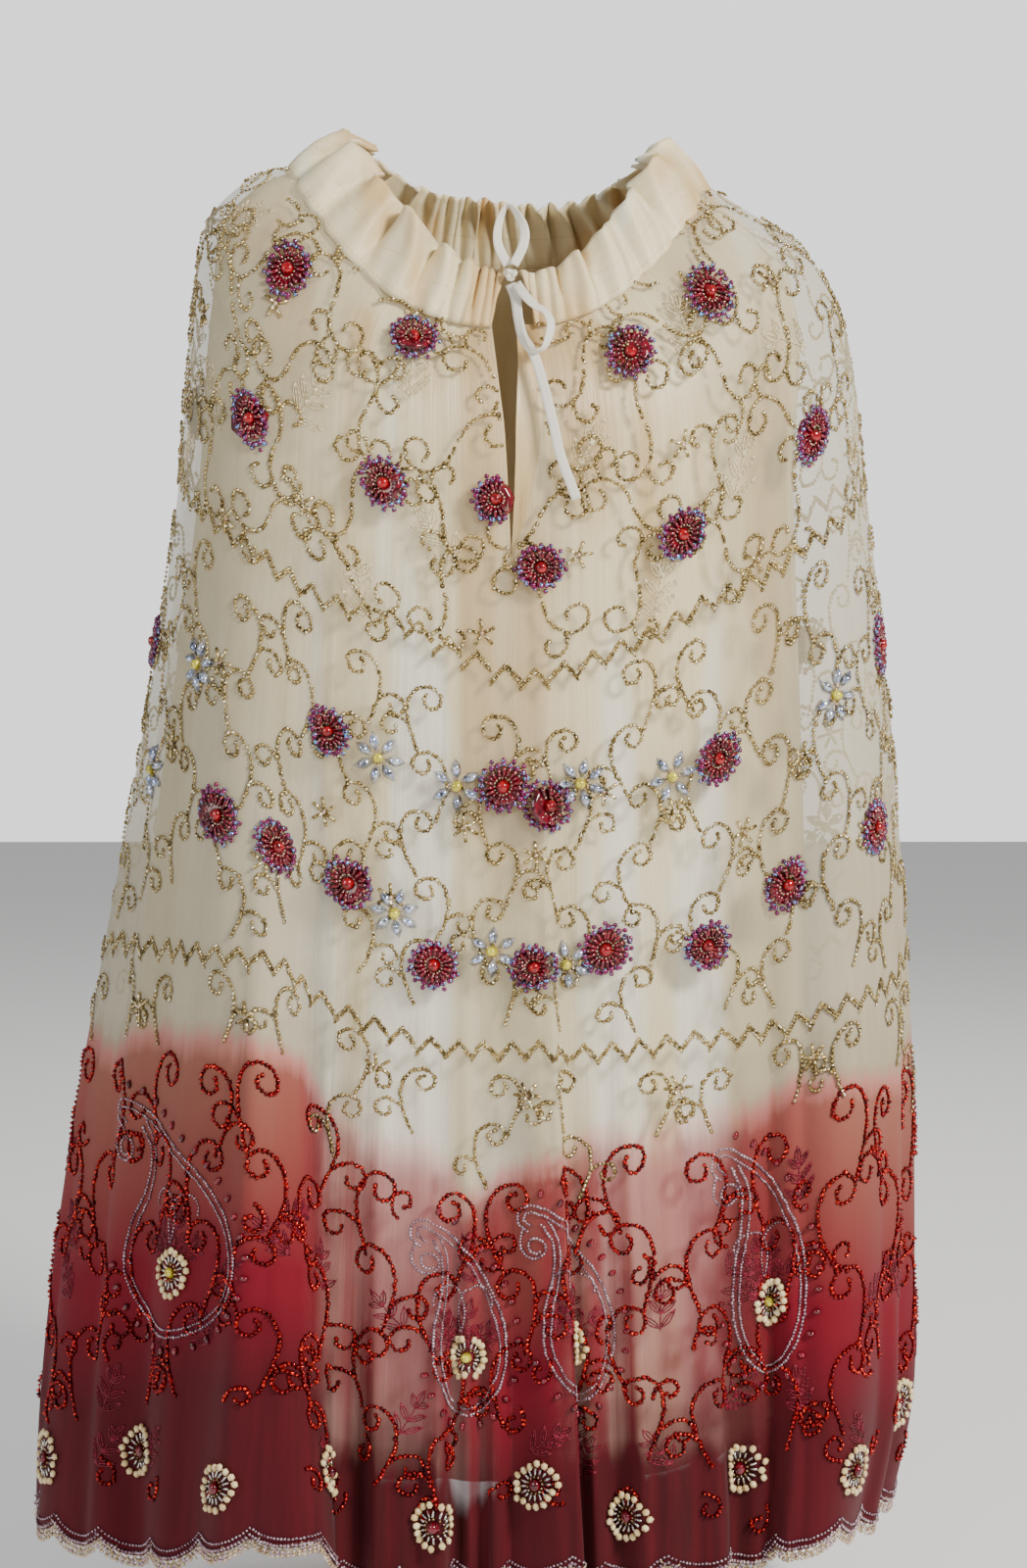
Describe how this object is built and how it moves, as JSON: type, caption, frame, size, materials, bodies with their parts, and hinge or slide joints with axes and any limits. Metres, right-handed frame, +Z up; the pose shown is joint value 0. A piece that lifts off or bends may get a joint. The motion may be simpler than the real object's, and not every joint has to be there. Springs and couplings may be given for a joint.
{
  "type": "lehenga skirt",
  "caption": "Floor-length flared skirt: an embroidered net overskirt with a scalloped hem over a shorter satin lining, gathered on a drawstring waistband with a front slit.",
  "frame": {"origin": "centre of the drawn waist, where the wearer's waist holds the skirt up", "axes": "+Z up, -Y towards the front slit and its bow, +X to the right of a viewer who faces the front"},
  "size_m": [0.7151, 0.4386, 1.111],
  "materials": {
    "ivory_net": "sheer net, ivory above and crimson at the hem",
    "ivory_satin": "satin",
    "cotton_tape": "matt woven tape"
  },
  "bodies": {
    "root": {"net_front_left": "ivory_net", "net_front_right": "ivory_net", "net_back_left": "ivory_net", "net_back_right": "ivory_net", "lining_front_left": "ivory_satin", "lining_front_right": "ivory_satin", "lining_back_left": "ivory_satin", "lining_back_right": "ivory_satin", "waistband": "ivory_satin", "drawstring_knot": "cotton_tape", "drawstring_raised_loop": "cotton_tape", "drawstring_hanging_loop": "cotton_tape", "drawstring_tail": "cotton_tape"}
  },
  "joints": []
}
